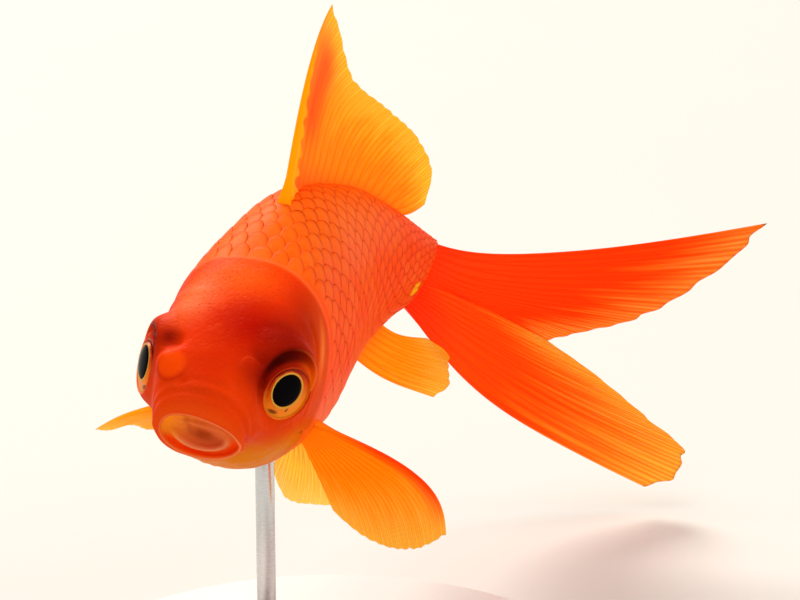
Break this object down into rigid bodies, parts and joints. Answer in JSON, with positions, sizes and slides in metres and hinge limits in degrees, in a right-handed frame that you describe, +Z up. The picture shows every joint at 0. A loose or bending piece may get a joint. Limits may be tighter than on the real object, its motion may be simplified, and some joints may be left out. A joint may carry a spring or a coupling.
{
  "type": "goldfish",
  "caption": "Life-size still model of a comet goldfish turning in mid-swim with its fins spread, held on a round display stand.",
  "frame": {"origin": "Centre of the underside of the round stand base, on the surface it stands on.", "axes": "+Z up. The fish's head looks along -Y and its left side is towards +X. Its tail root turns towards +X and its back leans 7.4 degrees towards +X."},
  "size_m": [0.0891, 0.1276, 0.0892],
  "materials": {
    "head_skin": "deep red wet skin, darker between the eyes",
    "chin_skin": "golden ochre wet skin with a pale lip",
    "gill_skin": "orange-red gill cover with a metallic sheen",
    "body_skin": "orange-red scales with a pinkish sheen",
    "fin_membrane": "thin orange membrane on branching rays",
    "iris": "orange-gold iris under a clear cornea",
    "pupil": "black, glossy",
    "base_acrylic": "satin white",
    "rod_steel": "fine brushed"
  },
  "bodies": {
    "root": {"head": "head_skin", "lower_jaw": "chin_skin", "gill_cover_left": "gill_skin", "gill_cover_right": "gill_skin", "trunk": "body_skin", "tail_stem": "body_skin", "dorsal_fin": "fin_membrane", "anal_fin": "fin_membrane", "tail_fin_upper": "fin_membrane", "tail_fin_lower": "fin_membrane", "pectoral_fin_left": "fin_membrane", "pectoral_fin_right": "fin_membrane", "pelvic_fin_left": "fin_membrane", "pelvic_fin_right": "fin_membrane", "eye_left": "iris", "eye_right": "iris", "pupil_left": "pupil", "pupil_right": "pupil", "stand_base": "base_acrylic", "stand_collar": "rod_steel", "stand_rod": "rod_steel"}
  },
  "joints": []
}
